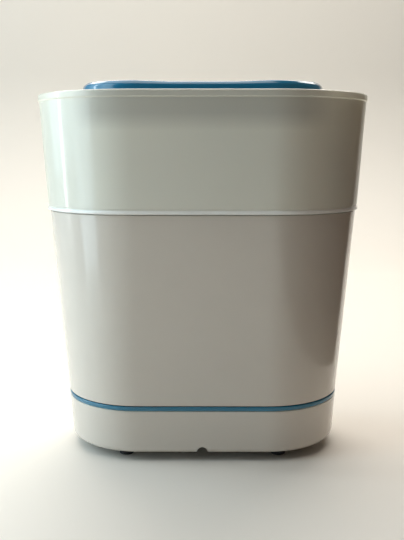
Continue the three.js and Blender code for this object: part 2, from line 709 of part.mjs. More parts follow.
function smallBasket() {
  const skirtBottom = BASKET_TOP - 6;
  const skirtOuter = basketRadius(skirtBottom) - WALL - 0.6;
  const floorBottom = FLANGE_TOP + 1;
  const floorTop = floorBottom + WALL;
  const body = ovalSweep([
    [0, floorTop],
    [smallRadius(floorTop) - 4, floorTop],
    [smallRadius(floorTop) - 2, floorTop + 2],
    [smallRadius(SMALL_BASKET_TOP) - 2, SMALL_BASKET_TOP],
    [smallRadius(SMALL_BASKET_TOP), SMALL_BASKET_TOP],
    [smallRadius(FLANGE_TOP), FLANGE_TOP],
    [FLANGE_RADIUS, FLANGE_TOP],
    [FLANGE_RADIUS, FLANGE_BOTTOM],
    [skirtOuter, FLANGE_BOTTOM],
    [skirtOuter, skirtBottom],
    [skirtOuter - 1.8, skirtBottom],
    [skirtOuter - 1.8, floorBottom],
    [0, floorBottom],
  ]);
  const slots = floorSlots(floorBottom - 1, floorTop + 1, {
    rows: 3, columns: 11, pitchX: (2 * HALF_SPAN) / 8, pitchY: 36, length: 28, width: 5,
  });
  return shape(body, { cut: slots });
}

const PLATE_BOTTOM = SMALL_BASKET_TOP + GAP;

function perforatedPlate() {
  const top = PLATE_BOTTOM + 2;
  const rim = smallRadius(SMALL_BASKET_TOP) + 0.4;
  const skirt = smallRadius(SMALL_BASKET_TOP - 4) - 2.6;
  const body = ovalSweep([
    [0, top],
    [rim - 0.5, top],
    [rim, top - 0.5],
    [rim, PLATE_BOTTOM],
    [skirt, PLATE_BOTTOM],
    [skirt, PLATE_BOTTOM - 4],
    [skirt - 1.8, PLATE_BOTTOM - 4],
    [skirt - 1.8, PLATE_BOTTOM],
    [0, PLATE_BOTTOM],
  ]);
  const slots = floorSlots(PLATE_BOTTOM - 1, top + 1, {
    rows: 4, columns: 9, pitchX: (2 * HALF_SPAN) / 6, pitchY: 28, length: 10, width: 10,
  });
  return shape(body, { cut: slots });
}

// ---- Lid ------------------------------------------------------------------------------------

const HANDLE_SCREW_Y = HANDLE_RADIUS - HANDLE_BAND / 2;

const LID_UNDER = LID_TOP - WALL;
const LID_SEAM_RADIUS = lidRadius(LID_UNDER) - WALL - 2.6; // between the lid's wall and its top

function lidShell() {
  const beadTop = LID_BOTTOM + 3;
  const ledge = FLANGE_TOP + GAP;
  const lipBottom = LID_TOP - 6;
  return ovalSweep(closed([
    [LID_SEAM_RADIUS, LID_TOP],
    [LIP_RADIUS - 1.6, LID_TOP],
    [LIP_RADIUS - 0.4, LID_TOP - 0.7],
    [LIP_RADIUS, LID_TOP - 2],
    [LIP_RADIUS, lipBottom + 1.4],
    [lidRadius(lipBottom), lipBottom],
    [lidRadius(beadTop), beadTop],
    [BEAD_RADIUS, beadTop - 0.6],
    [BEAD_RADIUS, LID_BOTTOM + 0.5],
    [BEAD_RADIUS - 0.5, LID_BOTTOM],
    [FLANGE_RADIUS + 0.5, LID_BOTTOM],
    [FLANGE_RADIUS + 0.5, ledge],
    [FLANGE_RADIUS - 1.2, ledge],
    [lidRadius(beadTop + 2) - WALL, beadTop + 2],
    [lidRadius(LID_UNDER - 3) - WALL, LID_UNDER - 3],
    [LID_SEAM_RADIUS, LID_UNDER],
  ]));
}

// The flat top with the recess that hands reach into.
function lidTop() {
  const body = ovalSweep([
    [0, WELL_FLOOR],
    [WELL_RADIUS - 6, WELL_FLOOR],
    [WELL_RADIUS - 3.4, WELL_FLOOR + 2.4],
    [WELL_RADIUS - 0.8, LID_TOP - 1],
    [WELL_RADIUS + 0.4, LID_TOP],
    [LID_SEAM_RADIUS - GAP, LID_TOP],
    [LID_SEAM_RADIUS - GAP, LID_UNDER],
    [WELL_RADIUS + 2.4, LID_UNDER],
    [WELL_RADIUS - 1, WELL_FLOOR],
    [WELL_RADIUS - 4.5, WELL_FLOOR - WALL],
    [0, WELL_FLOOR - WALL],
  ]);
  const ventX = HALF_SPAN + (LIP_RADIUS + WELL_RADIUS) / 2;
  const vents = [-1, 1].flatMap((side) => [-9, 0, 9].map((y) => (
    box([side * ventX - 7, side * ventX + 7], [y - 1.5, y + 1.5], [LID_UNDER - 1, LID_TOP + 1])
  )));
  const holes = corners(HALF_SPAN, HANDLE_SCREW_Y).map(([x, y]) => (
    cylinder(SCREW_RADIUS + GAP, LID_UNDER - 1, LID_TOP + 1, x, y)
  ));
  return shape(body, { cut: [...vents, ...holes] });
}

// The handle stands a little higher over its two ends than in the middle.
function saddle(geometry) {
  const position = geometry.attributes.position;
  for (let i = 0; i < position.count; i += 1) {
    const lift = THREE.MathUtils.smoothstep(Math.abs(position.getX(i)), HALF_SPAN * 0.5, HALF_SPAN);
    const share = (position.getZ(i) - HANDLE_BOTTOM) / HANDLE_HEIGHT;
    position.setZ(i, position.getZ(i) + lift * Math.max(0, share - 0.5) * 2);
  }
  return geometry;
}

function lidHandle() {
  const inner = HANDLE_RADIUS - HANDLE_BAND;
  const top = HANDLE_BOTTOM + HANDLE_HEIGHT;
  const band = ovalSweep(closed([
    [inner, HANDLE_BOTTOM],
    [HANDLE_RADIUS - 0.6, HANDLE_BOTTOM],
    [HANDLE_RADIUS, HANDLE_BOTTOM + 0.8],
    [HANDLE_RADIUS, top - 4],
    [HANDLE_RADIUS - 1.6, top - 1],
    [HANDLE_RADIUS - 3.4, top],
    [inner + 2, top - 0.6],
    [inner, top - 3],
  ]));
  const gripBottom = top - 1.5 - GRIP_THICKNESS;
  const reach = HALF_SPAN + inner + 2;
  const half = GRIP_WIDTH / 2;
  const section = new THREE.Shape([
    [-half, gripBottom + 1.5], [-half + 1.5, gripBottom], [half - 1.5, gripBottom],
    [half, gripBottom + 1.5], [half, top - 3.5], [half - 2, top - 1.5], [-half + 2, top - 1.5],
    [-half, top - 3.5],
  ].map(([y, z]) => new THREE.Vector2(y, z)));
  const grip = new THREE.ExtrudeGeometry(section, {
    depth: 2 * reach, steps: 6, bevelEnabled: false,
  });
  grip.rotateX(Math.PI / 2).rotateZ(Math.PI / 2).translate(-reach, 0, 0);
  const pilots = corners(HALF_SPAN, HANDLE_SCREW_Y).map(([x, y]) => (
    cylinder(SCREW_RADIUS + GAP, HANDLE_BOTTOM - 1, top - 2.6, x, y)
  ));
  return saddle(shape(band, { joined: [grip], cut: pilots }));
}

// ---- Materials and assembly -----------------------------------------------------------------

const finish = (color, roughness, metalness = 0) => (
  new THREE.MeshStandardMaterial({ color, roughness, metalness })
);
const WHITE = finish(0xeeefec, 0.28);
const INNER_WHITE = finish(0xe4e6e2, 0.45);
const MILKY = finish(0xd7dedb, 0.35);
const BLUE = finish(0x2c6f9b, 0.3);
const STEEL = finish(0xb9bcbe, 0.3, 0.9);
const ALUMINIUM = finish(0xc9cbcc, 0.45, 0.9);
const RUBBER = finish(0x1d1e20, 0.85);
const SILICONE = finish(0xc9c9c4, 0.7);
const DARK_PLASTIC = finish(0x2a2c2f, 0.5);
const BOARD_GREEN = finish(0x2f6b45, 0.5);

const sterilizer = new THREE.Group();
sterilizer.name = 'bottle_sterilizer';

function place(name, geometry, material, [x, y, z] = [0, 0, 0]) {
  const mesh = new THREE.Mesh(geometry, material);
  mesh.name = name;
  mesh.position.set(x, y, z);
  sterilizer.add(mesh);
  return mesh;
}

place('base_housing', baseHousing(), WHITE);
place('accent_ring', accentRing(), BLUE);
place('bottom_cover', bottomCover(), INNER_WHITE);
place('cord_gland', cordGland(), RUBBER, [GLAND_X, REAR_Y, 0]);
corners(FOOT_X, FOOT_Y).forEach(([x, y], i) => place(`foot_${i + 1}`, foot(), RUBBER, [x, y, 0]));
corners(COVER_SCREW_X, COVER_SCREW_Y).forEach(([x, y], i) => {
  const headHeight = 2.2;
  const height = COVER_BOTTOM - GAP - headHeight;
  place(`cover_screw_${i + 1}`, screw(SCREW_RADIUS, 3.4, headHeight, 11), STEEL, [x, y, height]);
});

place('heating_plate', heatingPlate(), STEEL);
place('plate_gasket', plateGasket(), SILICONE);
place('plate_clamp', plateClamp(), STEEL);
around(4, STUD_CIRCLE).forEach(([x, y], i) => {
  const underBracket = i % 2 === 0 ? TAB_THICKNESS + GAP : 0;
  const height = CLAMP_BOTTOM - GAP - underBracket - NUT_HEIGHT;
  place(`plate_nut_${i + 1}`, nut(), STEEL, [x, y, height]);
});
place('heat_spreader', heatSpreader(), ALUMINIUM);
place('heating_element', heatingElement(), STEEL);
place('thermostat_bracket', thermostatBracket(), STEEL);
place('thermostat', thermostat(), DARK_PLASTIC);
place('thermal_fuse', thermalFuse(), finish(0xa8743c, 0.4, 0.6));

place('circuit_board', circuitBoard(), BOARD_GREEN);
place('power_relay', relay(), DARK_PLASTIC);
place('switch_housing', switchHousing(), DARK_PLASTIC);
place('switch_plunger', switchPlunger(), SILICONE);
place('power_button', powerButton(), WHITE);
place('light_ring', lightRing(), finish(0xbfdcec, 0.25));
place('power_lamp', powerLamp(), finish(0xd9ecff, 0.15));
[-1, 1].forEach((side, i) => {
  const boardZ = (BOARD_TOP + BOARD_BOTTOM) / 2;
  const headHeight = 1.6;
  const position = [side * BOARD_SCREW_X, BOARD_Y - GAP - headHeight, boardZ];
  const geometry = screw(BOARD_SCREW_RADIUS, 2.8, headHeight, 7);
  const fastener = place(`board_screw_${i + 1}`, geometry, STEEL, position);
  fastener.rotation.x = -Math.PI / 2;
});
place('terminal_block', terminalBlock(), INNER_WHITE);
const WIRE_COLOURS = {
  live_wire: 0x7a4a2b, neutral_wire: 0x2b5fa3, switched_wire: 0x222222, earth_wire: 0x5f8f2f,
};
Object.entries(wires()).forEach(([name, geometry]) => {
  place(name, geometry, finish(WIRE_COLOURS[name], 0.5));
});

place('large_basket', largeBasket(), WHITE);
place('small_basket', smallBasket(), INNER_WHITE);
place('perforated_plate', perforatedPlate(), INNER_WHITE);
place('lid_shell', lidShell(), MILKY);
place('lid_top', lidTop(), MILKY);
place('lid_handle', lidHandle(), BLUE);
corners(HALF_SPAN, HANDLE_SCREW_Y).forEach(([x, y], i) => {
  const headHeight = 2.2;
  const height = LID_UNDER - GAP - headHeight;
  place(`handle_screw_${i + 1}`, screw(SCREW_RADIUS, 3, headHeight, 7), STEEL, [x, y, height]);
});

export default sterilizer;
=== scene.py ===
"""The looks of the bottle sterilizer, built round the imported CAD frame.

Lengths are millimetres until to_mesh(), and metres in materials, lights and the camera. Every level of the body is
an oval: two half circles joined by straight sides, so most pieces are one section swept round it.
"""

import math

import bmesh
import bpy
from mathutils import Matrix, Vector


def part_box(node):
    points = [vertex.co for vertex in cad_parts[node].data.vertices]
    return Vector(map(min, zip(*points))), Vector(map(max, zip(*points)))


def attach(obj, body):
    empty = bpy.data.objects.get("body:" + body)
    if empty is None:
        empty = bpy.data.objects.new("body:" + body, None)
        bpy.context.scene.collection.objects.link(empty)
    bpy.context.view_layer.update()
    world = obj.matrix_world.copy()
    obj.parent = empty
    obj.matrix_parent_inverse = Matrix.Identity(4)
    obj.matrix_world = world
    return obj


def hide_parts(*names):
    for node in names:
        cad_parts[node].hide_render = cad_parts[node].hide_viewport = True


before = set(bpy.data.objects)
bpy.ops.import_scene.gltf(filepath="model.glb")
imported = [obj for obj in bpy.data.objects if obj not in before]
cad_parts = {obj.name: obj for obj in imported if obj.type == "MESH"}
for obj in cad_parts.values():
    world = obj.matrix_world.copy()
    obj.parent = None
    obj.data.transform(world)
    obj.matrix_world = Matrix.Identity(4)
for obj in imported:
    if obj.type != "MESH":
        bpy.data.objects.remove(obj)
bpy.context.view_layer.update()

MM = 0.001
ARC = 44  # faces round one rounded end of the oval
STRAIGHT = 8  # faces along one straight side
GAP = 0.3  # clearance between pieces that touch
WALL = 2.5  # moulded wall
PAST = 1.0  # how far a cutter runs past the face it cuts
MIDDLE = 20.0  # radius where the section of a floor starts: one flat face closes the rest
SCREW_HOLE = 1.9  # radius of a hole for a case screw
SHARP = math.radians(34)  # edges sharper than this stay creased


def span(node):
    low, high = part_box(node)
    return Vector(low) / MM, Vector(high) / MM


def centre(node):
    low, high = span(node)
    return (low + high) / 2


# ---- Levels and radii, all from the frame ----------------------------------------------------

LID_LOW, LID_HIGH = span("lid_shell")
BASE_LOW, BASE_HIGH = span("base_housing")
RING_LOW, RING_HIGH = span("accent_ring")
BASKET_LOW, BASKET_HIGH = span("large_basket")
SMALL_LOW, SMALL_HIGH = span("small_basket")
PLATE_LOW, PLATE_HIGH = span("perforated_plate")
HANDLE_LOW, HANDLE_HIGH = span("lid_handle")
COVER_HIGH = span("bottom_cover")[1]
DISH_HIGH = span("heating_plate")[1]
BUTTON_LOW, BUTTON_HIGH = span("power_button")
LIGHT_LOW, LIGHT_HIGH = span("light_ring")
GLAND = centre("cord_gland")
FOOT_LOW, FOOT_HIGH = span("foot_1")
HALF_SPAN = LID_HIGH.x - LID_HIGH.y  # from the middle to the centre of either rounded end

FOOT_TOP = BASE_LOW.z
LIP_RADIUS = LID_HIGH.y
BASE_RADIUS = BASE_HIGH.x - HALF_SPAN
BASKET_RIM = BASKET_HIGH.y
BASE_TOP = RING_LOW.z - GAP
SEAT_TOP = BASE_HIGH.z
FLOOR_BOTTOM = SEAT_TOP + GAP


# ---- Mesh helpers ----------------------------------------------------------------------------


def rounded(corners, closed=False, steps=5):
    """A section of (radius, height, fillet) corners, each corner turned into an arc."""
    count = len(corners)
    out = []
    for i, (r, z, fillet) in enumerate(corners):
        here = Vector((r, z))
        if fillet <= 0 or (not closed and i in (0, count - 1)):
            out.append((r, z))
            continue
        back = Vector(corners[i - 1][:2]) - here
        ahead = Vector(corners[(i + 1) % count][:2]) - here
        half = back.angle(ahead) / 2
        reach = min(fillet / math.tan(half), back.length * 0.49, ahead.length * 0.49)
        radius = reach * math.tan(half)
        middle = here + (back.normalized() + ahead.normalized()).normalized() * (radius / math.sin(half))
        first = (here + back.normalized() * reach) - middle
        last = (here + ahead.normalized() * reach) - middle
        turn = math.atan2(first.x * last.y - first.y * last.x, first.dot(last))
        for k in range(steps + 1):
            angle = turn * k / steps
            c, s = math.cos(angle), math.sin(angle)
            out.append((middle.x + first.x * c - first.y * s, middle.y + first.x * s + first.y * c))
    return out


def oval_stations():
    """(centre x, cosine, sine) round the oval, with a few stations along each straight side."""
    stations = []
    for side in (1, -1):
        for i in range(ARC + 1):
            angle = side * math.pi / 2 - math.pi + math.pi * i / ARC
            stations.append((side * HALF_SPAN, math.cos(angle), math.sin(angle)))
        for i in range(1, STRAIGHT):
            share = i / STRAIGHT
            stations.append((side * HALF_SPAN * (1 - 2 * share), 0.0, float(side)))
    return stations


def round_stations(steps):
    angles = [2 * math.pi * i / steps for i in range(steps)]
    return [(0.0, math.cos(angle), math.sin(angle)) for angle in angles]


def swept(name, section, stations, closed=False):
    """Carries a section round the stations. An open section is closed by flat faces at both ends."""
    bm = bmesh.new()
    rings = [[bm.verts.new((cx + r * c, r * s, z)) for r, z in section] for cx, c, s in stations]
    steps = len(section) if closed else len(section) - 1
    for i, ring in enumerate(rings):
        following = rings[(i + 1) % len(rings)]
        for j in range(steps):
            k = (j + 1) % len(section)
            bm.faces.new((ring[j], following[j], following[k], ring[k]))
    if not closed:
        bm.faces.new([ring[0] for ring in reversed(rings)])
        bm.faces.new([ring[-1] for ring in rings])
    return to_mesh(name, bm)


def to_mesh(name, bm):
    bmesh.ops.recalc_face_normals(bm, faces=bm.faces)
    bmesh.ops.scale(bm, vec=(MM, MM, MM), verts=bm.verts)
    mesh = bpy.data.meshes.new(name)
    bm.to_mesh(mesh)
    bm.free()
    piece = bpy.data.objects.new(name, mesh)
    bpy.context.scene.collection.objects.link(piece)
    return piece


def oval(name, corners, closed=False, steps=5):
    return swept(name, rounded(corners, closed, steps), oval_stations(), closed)


def turned(name, corners, around, closed=False, along_y=False, steps=72):
    """A turned piece about the upright line, or the line along Y, through the point around."""
    section = rounded(corners, closed)
    piece = swept(name, section, round_stations(steps), closed)
    for vertex in piece.data.vertices:
        x, y, z = vertex.co
        if along_y:
            vertex.co = (x + around[0] * MM, z, y + around[2] * MM)
        else:
            vertex.co = (x + around[0] * MM, y + around[1] * MM, z)
    if along_y:
        piece.data.flip_normals()
    return piece


def capped(bm, low, high):
    """Closes two rings of vertices into a rod: a band of faces and two end faces."""
    for i in range(len(low)):
        k = (i + 1) % len(low)
        bm.faces.new((low[i], low[k], high[k], high[i]))
    bm.faces.new(list(reversed(low)))
    bm.faces.new(high)


def rods(name, places, radius, low, high, along_y=False, sides=24):
    """Round rods as one mesh, for cutting holes. Each place is a point on the rod's axis."""
    bm = bmesh.new()
    for place in places:
        ends = []
        for level in (low, high):
            ring = []
            for i in range(sides):
                angle = 2 * math.pi * i / sides
                first = place[0] + radius * math.cos(angle)
                second = place[1] + radius * math.sin(angle)
                point = (first, level, second) if along_y else (first, second, level)
                ring.append(bm.verts.new(point))
            ends.append(ring)
        capped(bm, *ends)
    return to_mesh(name, bm)


def slots(name, places, length, width, low, high):
    """Round-ended slots along Y as one mesh."""
    bm = bmesh.new()
    radius = width / 2
    turns = 8  # faces round one end
    for x, y in places:
        ends = []
        for level in (low, high):
            ring = []
            for side in (1, -1):
                reach = side * (length - width) / 2
                for i in range(turns + 1):
                    angle = (0 if side > 0 else math.pi) + math.pi * i / turns
                    along = y + reach + radius * math.sin(angle)
                    ring.append(bm.verts.new((x + radius * math.cos(angle), along, level)))
            ends.append(ring)
        capped(bm, *ends)
    return to_mesh(name, bm)


def block(name, low, high, fillet=0.0):
    """A box between two corners, with rounded edges if it has a fillet."""
    bm = bmesh.new()
    bmesh.ops.create_cube(bm, size=1)
    low, high = Vector(low), Vector(high)
    size = high - low
    for vertex in bm.verts:
        vertex.co = Vector(vertex.co[i] * size[i] + (low[i] + high[i]) / 2 for i in range(3))
    if fillet:
        bmesh.ops.bevel(
            bm, geom=bm.edges[:], offset=fillet, segments=3, profile=0.5, affect="EDGES")
    return to_mesh(name, bm)


def combine(piece, other, operation):
    """Joins or cuts with another mesh, and removes that mesh."""
    modifier = piece.modifiers.new(operation, "BOOLEAN")
    modifier.operation = operation
    modifier.solver = "EXACT"
    modifier.object = other
    seen = bpy.context.evaluated_depsgraph_get()
    result = bpy.data.meshes.new_from_object(piece.evaluated_get(seen))
    piece.modifiers.clear()
    piece.data = result
    bpy.data.objects.remove(other)


def soften(piece, width, angle, segments):
    """Rounds the piece's sharp edges, such as those that a cut has left."""
    bevel = piece.modifiers.new("soft_edges", "BEVEL")
    bevel.width = width * MM
    bevel.segments = segments
    bevel.limit_method = "ANGLE"
    bevel.angle_limit = math.radians(angle)


def finish_piece(piece, body, material, slot, *replaced):
    """Shades, colours and hangs a finished piece on its body in place of CAD nodes."""
    for polygon in piece.data.polygons:
        polygon.use_smooth = True
    piece.data.set_sharp_from_angle(angle=SHARP)
    weighted = piece.modifiers.new("weighted_normals", "WEIGHTED_NORMAL")
    weighted.keep_sharp = True
    piece.data.materials.clear()
    piece.data.materials.append(material)
    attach(piece, body)
    if replaced:
        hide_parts(*replaced)


# ---- Materials: shader helpers ---------------------------------------------------------------


def new_material(name):
    material = bpy.data.materials.new(name)
    material.use_nodes = True
    tree = material.node_tree
    tree.nodes.clear()
    return material, tree


def node(tree, kind, inputs=None, **settings):
    made = tree.nodes.new(kind)
    for key, value in settings.items():
        setattr(made, key, value)
    for key, value in (inputs or {}).items():
        if isinstance(value, bpy.types.NodeSocket):
            tree.links.new(value, made.inputs[key])
        else:
            made.inputs[key].default_value = value
    return made


def mapped(tree, value, low, high, start=0.3, end=0.7):
    """Maps the values from start to end onto low to high, and holds them there beyond."""
    made = node(tree, "ShaderNodeMapRange", {
        "Value": value, "From Min": start, "From Max": end, "To Min": low, "To Max": high})
    return made.outputs["Result"]


def noise(tree, scale, detail=3.0, roughness=0.55, vector=None):
    vector = vector or node(tree, "ShaderNodeTexCoord").outputs["Object"]
    made = node(tree, "ShaderNodeTexNoise", {
        "Vector": vector, "Scale": scale, "Detail": detail, "Roughness": roughness})
    return made.outputs["Fac"]


def mixed(tree, share, first, second):
    made = node(tree, "ShaderNodeMix", {0: share, 6: first, 7: second}, data_type="RGBA")
    return made.outputs[2]


def scaled(colour, factor):
    return tuple(min(1.0, c * factor) for c in colour[:3]) + (1.0,)


def maths(tree, operation, *values):
    made = node(tree, "ShaderNodeMath", dict(enumerate(values)), operation=operation)
    return made.outputs[0]


def bumped(tree, height, strength, distance):
    made = node(tree, "ShaderNodeBump", {
        "Height": height, "Strength": strength, "Distance": distance})
    return made.outputs["Normal"]


def rubbed(tree, amount, start, end):
    """How far an edge is rubbed: nothing on flat faces, up to the amount on sharp edges."""
    pointiness = node(tree, "ShaderNodeNewGeometry").outputs["Pointiness"]
    return mapped(tree, pointiness, 0.0, amount, start, end)


def object_place(tree):
    """The X, Y and Z outputs of a point's place on the object, in metres."""
    place = node(tree, "ShaderNodeTexCoord").outputs["Object"]
    return node(tree, "ShaderNodeSeparateXYZ", {0: place}).outputs


def principled(tree, tone, gloss, normal=None):
    inputs = {"Base Color": tone, "Roughness": gloss}
    if normal is not None:
        inputs["Normal"] = normal
    return node(tree, "ShaderNodeBsdfPrincipled", inputs)


def put_out(tree, shader):
    node(tree, "ShaderNodeOutputMaterial", {"Surface": shader.outputs[0]})


# ---- Materials: the kinds --------------------------------------------------------------------

DUST = (0.42, 0.39, 0.35, 1.0)
PLASTIC_IOR = 1.49
COAT_ROUGHNESS = 0.06
SCATTER_RADIUS = (1.0, 0.8, 0.6)
SCATTER_SCALE = 0.003
LIP_FADE = 0.0004  # height over which the white lip of a milky piece ends
LIP_WHITE = (1.0, 1.0, 0.97, 1.0)
LIP_THROUGH = 0.1  # share of light that the thick lip lets through
# A painted shade band near the top of a milky piece, in place of the shade of a recess behind its wall:
PAINTED_SHADE_FADE_LOW, PAINTED_SHADE_FADE_HIGH = 0.006, 0.008  # heights over which the painted shade band of a milky piece comes in
PAINTED_SHADE_FADE_END = 0.012  # length over which it goes at either end
PAINTED_SHADE_STRENGTH = 0.75  # strength of that painted shade
PAINTED_SHADE_TONE = 0.66  # how dark that painted shade makes the colour


def moulded(
        name, colour, roughness, grain=0.02, waves=0.012, coat=0.0, wear=0.06, dust=0.05, sss=0.0,
        surface_only=False):
    """Injection-moulded plastic.

    It has faint flow waves, a fine skin, uneven gloss, rubbed edges and a trace of dust. With surface_only, the
    shader is left for the caller to finish.
    """
    material, tree = new_material(name)
    base = scaled(colour, 1.0)
    flow = noise(tree, 9.0, 4.0)
    skin = noise(tree, 1400.0, 2.0)
    wave = noise(tree, 26.0, 1.0)
    smudge = noise(tree, 38.0, 5.0, 0.62)
    tone = mixed(tree, mapped(tree, flow, 0.0, 1.0), scaled(colour, 0.95), base)
    worn = scaled([c + (1 - c) * 0.6 for c in colour[:3]], 1.0)
    tone = mixed(tree, rubbed(tree, wear, 0.5, 0.58), tone, worn)
    tone = mixed(tree, mapped(tree, smudge, 0.0, dust, 0.5, 0.8), tone, DUST)
    gloss = mapped(tree, smudge, roughness * 0.86, roughness * 1.2)
    height = maths(tree, "MULTIPLY_ADD", wave, waves, maths(tree, "MULTIPLY", skin, grain))
    shader = principled(tree, tone, gloss, bumped(tree, height, 0.5, 0.001))
    shader.inputs["IOR"].default_value = PLASTIC_IOR
    shader.inputs["Coat Weight"].default_value = coat
    shader.inputs["Coat Roughness"].default_value = COAT_ROUGHNESS
    if sss:
        shader.inputs["Subsurface Weight"].default_value = sss
        shader.inputs["Subsurface Radius"].default_value = SCATTER_RADIUS
        shader.inputs["Subsurface Scale"].default_value = SCATTER_SCALE
    if surface_only:
        return material, tree, shader
    put_out(tree, shader)
    return material


def milky(name, colour, roughness, through, lip=None, well=None):
    """Frosted polypropylene: a glossy skin over a wall that lets some light through.

    The lip is the height in metres below which the wall is thick and whiter. The well is the height above which,
    and the length within which, a painted shade darkens the wall, in place of the shade of a recess behind it.
    """
    material, tree, shader = moulded(
        name, colour, roughness, waves=0.006, coat=0.5, wear=0.1, dust=0.0, surface_only=True)
    cloud = noise(tree, 5.0, 1.0)
    glow = mixed(tree, mapped(tree, cloud, 0.0, 1.0), scaled(colour, 0.98), scaled(colour, 1.02))
    if lip and well:
        place = object_place(tree)
        level, reach = well
        length = maths(tree, "ABSOLUTE", place["X"])
        high = mapped(tree, place["Z"], 0.0, 1.0, level - PAINTED_SHADE_FADE_LOW, level + PAINTED_SHADE_FADE_HIGH)
        within = mapped(tree, length, 1.0, 0.0, reach - PAINTED_SHADE_FADE_END, reach + PAINTED_SHADE_FADE_END)
        # Painted shade: a darker band near the top, within the reach, mixed into the wall's colour.
        shade = maths(tree, "MULTIPLY", maths(tree, "MULTIPLY", high, within), PAINTED_SHADE_STRENGTH)
        bright = mapped(tree, place["Z"], 1.0, 0.0, lip, lip + LIP_FADE)
        glow = mixed(tree, shade, glow, scaled(colour, PAINTED_SHADE_TONE))
        glow = mixed(tree, bright, glow, LIP_WHITE)
        tree.links.new(glow, shader.inputs["Base Color"])
        through = mapped(tree, bright, through, LIP_THROUGH, 0.0, 1.0)
    behind = node(tree, "ShaderNodeBsdfTranslucent", {"Color": glow})
    both = node(tree, "ShaderNodeMixShader", {
        0: through, 1: shader.outputs[0], 2: behind.outputs[0]})
    put_out(tree, both)
    return material


def edged_with_painted_highlight(name, colour, roughness, edge, start, end):
    """Moulded plastic with a painted highlight on its lower edge, ending between the start and end heights, in
    metres.
    """
    material, tree, shader = moulded(
        name, colour, roughness, coat=0.4, wear=0.05, dust=0.0, surface_only=True)
    tone = shader.inputs["Base Color"].links[0].from_socket
    # Painted highlight: the lower edge is made paler where it would catch light.
    lip = mapped(tree, object_place(tree)["Z"], 1.0, 0.0, start, end)
    tree.links.new(mixed(tree, lip, tone, scaled(edge, 1.0)), shader.inputs["Base Color"])
    put_out(tree, shader)
    return material


def metal(name, colour, roughness, brush=(400.0, 400.0, 12.0), tarnish=0.12):
    """Metal with brush lines, cloudy tarnish and rubbed edges."""
    material, tree = new_material(name)
    place = node(tree, "ShaderNodeTexCoord").outputs["Object"]
    stretched = node(tree, "ShaderNodeMapping", {"Vector": place, "Scale": brush}).outputs[0]
    lines = noise(tree, 3.0, 4.0, 0.7, stretched)
    cloud = noise(tree, 60.0, 5.0)
    tone = mixed(tree, mapped(tree, cloud, 0.0, tarnish), scaled(colour, 1.0), scaled(colour, 0.45))
    tone = mixed(tree, rubbed(tree, 0.5, 0.5, 0.6), tone, scaled(colour, 1.25))
    gloss = mapped(tree, lines, roughness * 0.8, roughness * 1.4)
    shader = principled(tree, tone, gloss, bumped(tree, lines, 0.12, 0.0003))
    shader.inputs["Metallic"].default_value = 1.0
    put_out(tree, shader)
    return material


def rubber(name, colour, roughness=0.7, grain=0.35):
    """Rubber or silicone: a soft matt skin with a fine grain and paler worn places."""
    material, tree = new_material(name)
    fine = noise(tree, 900.0, 3.0)
    patch = noise(tree, 70.0, 4.0)
    tone = mixed(tree, mapped(tree, patch, 0.0, 0.6), scaled(colour, 1.0), scaled(colour, 1.5))
    worn = scaled([c + 0.15 for c in colour], 1.0)
    tone = mixed(tree, rubbed(tree, 0.35, 0.52, 0.62), tone, worn)
    gloss = mapped(tree, patch, roughness * 0.9, min(1.0, roughness * 1.15))
    put_out(tree, principled(tree, tone, gloss, bumped(tree, fine, grain, 0.0004)))
    return material


# ---- Materials: those used -------------------------------------------------------------------

BEAD_HEIGHT = 3.0  # of the bead round the lid's lower edge
PAINTED_SHADE_DEPTH = 27.0  # of the painted shade band below the lid's top, in place of the recess's shade through the wall
PAINTED_SHADE_REACH = 0.096  # of that band to either side of the middle, in metres

WHITE = moulded("gloss_white_plastic", (0.65, 0.60, 0.535), 0.17, coat=0.4, sss=0.03)
INNER_WHITE = moulded("satin_white_plastic", (0.74, 0.75, 0.73), 0.4, grain=0.06)
# The lid's plastic, with a painted shade band below its top.
MILKY = milky(
    "milky_plastic", (0.97, 0.96, 0.87), 0.22, 0.30,
    lip=(LID_LOW.z + BEAD_HEIGHT) * MM, well=((LID_HIGH.z - PAINTED_SHADE_DEPTH) * MM, PAINTED_SHADE_REACH))
BLUE = moulded("gloss_blue_plastic", (0.010, 0.18, 0.34), 0.18, coat=0.5, wear=0.08, dust=0.02)
# The trim ring's blue, with a painted highlight along its lower edge.
TRIM_BLUE = edged_with_painted_highlight(
    "trim_blue_plastic", (0.008, 0.16, 0.27), 0.2, edge=(0.30, 0.62, 0.74),
    start=(RING_LOW.z + 0.15) * MM, end=(RING_LOW.z + 0.45) * MM)
GREY_PLASTIC = moulded("dark_plastic", (0.035, 0.038, 0.042), 0.45, grain=0.1)
CLEAR = milky("clear_plastic", (0.55, 0.70, 0.80), 0.18, 0.5)
BOARD = moulded("board_lacquer", (0.03, 0.16, 0.07), 0.35, grain=0.1)
STEEL = metal("brushed_steel", (0.58, 0.58, 0.57), 0.24)
ZINC = metal("zinc_plated_steel", (0.62, 0.62, 0.6), 0.34, (120.0, 120.0, 120.0), 0.25)
ALUMINIUM = metal("plain_aluminium", (0.72, 0.73, 0.74), 0.4, (200.0, 20.0, 200.0), 0.15)
BRASS = metal("dull_brass", (0.55, 0.40, 0.2), 0.35, (200.0, 200.0, 200.0), 0.4)
FEET_RUBBER = rubber("black_rubber", (0.018, 0.018, 0.02))
SILICONE = rubber("pale_silicone", (0.5, 0.5, 0.47), 0.5, 0.15)
WIRE_COLOURS = {
    "live_wire": ("wire_brown", (0.16, 0.07, 0.03)),
    "neutral_wire": ("wire_blue", (0.02, 0.09, 0.34)),
    "switched_wire": ("wire_black", (0.02, 0.02, 0.02)),
    "earth_wire": ("wire_green", (0.12, 0.26, 0.03)),
}


# ---- Base ------------------------------------------------------------------------------------

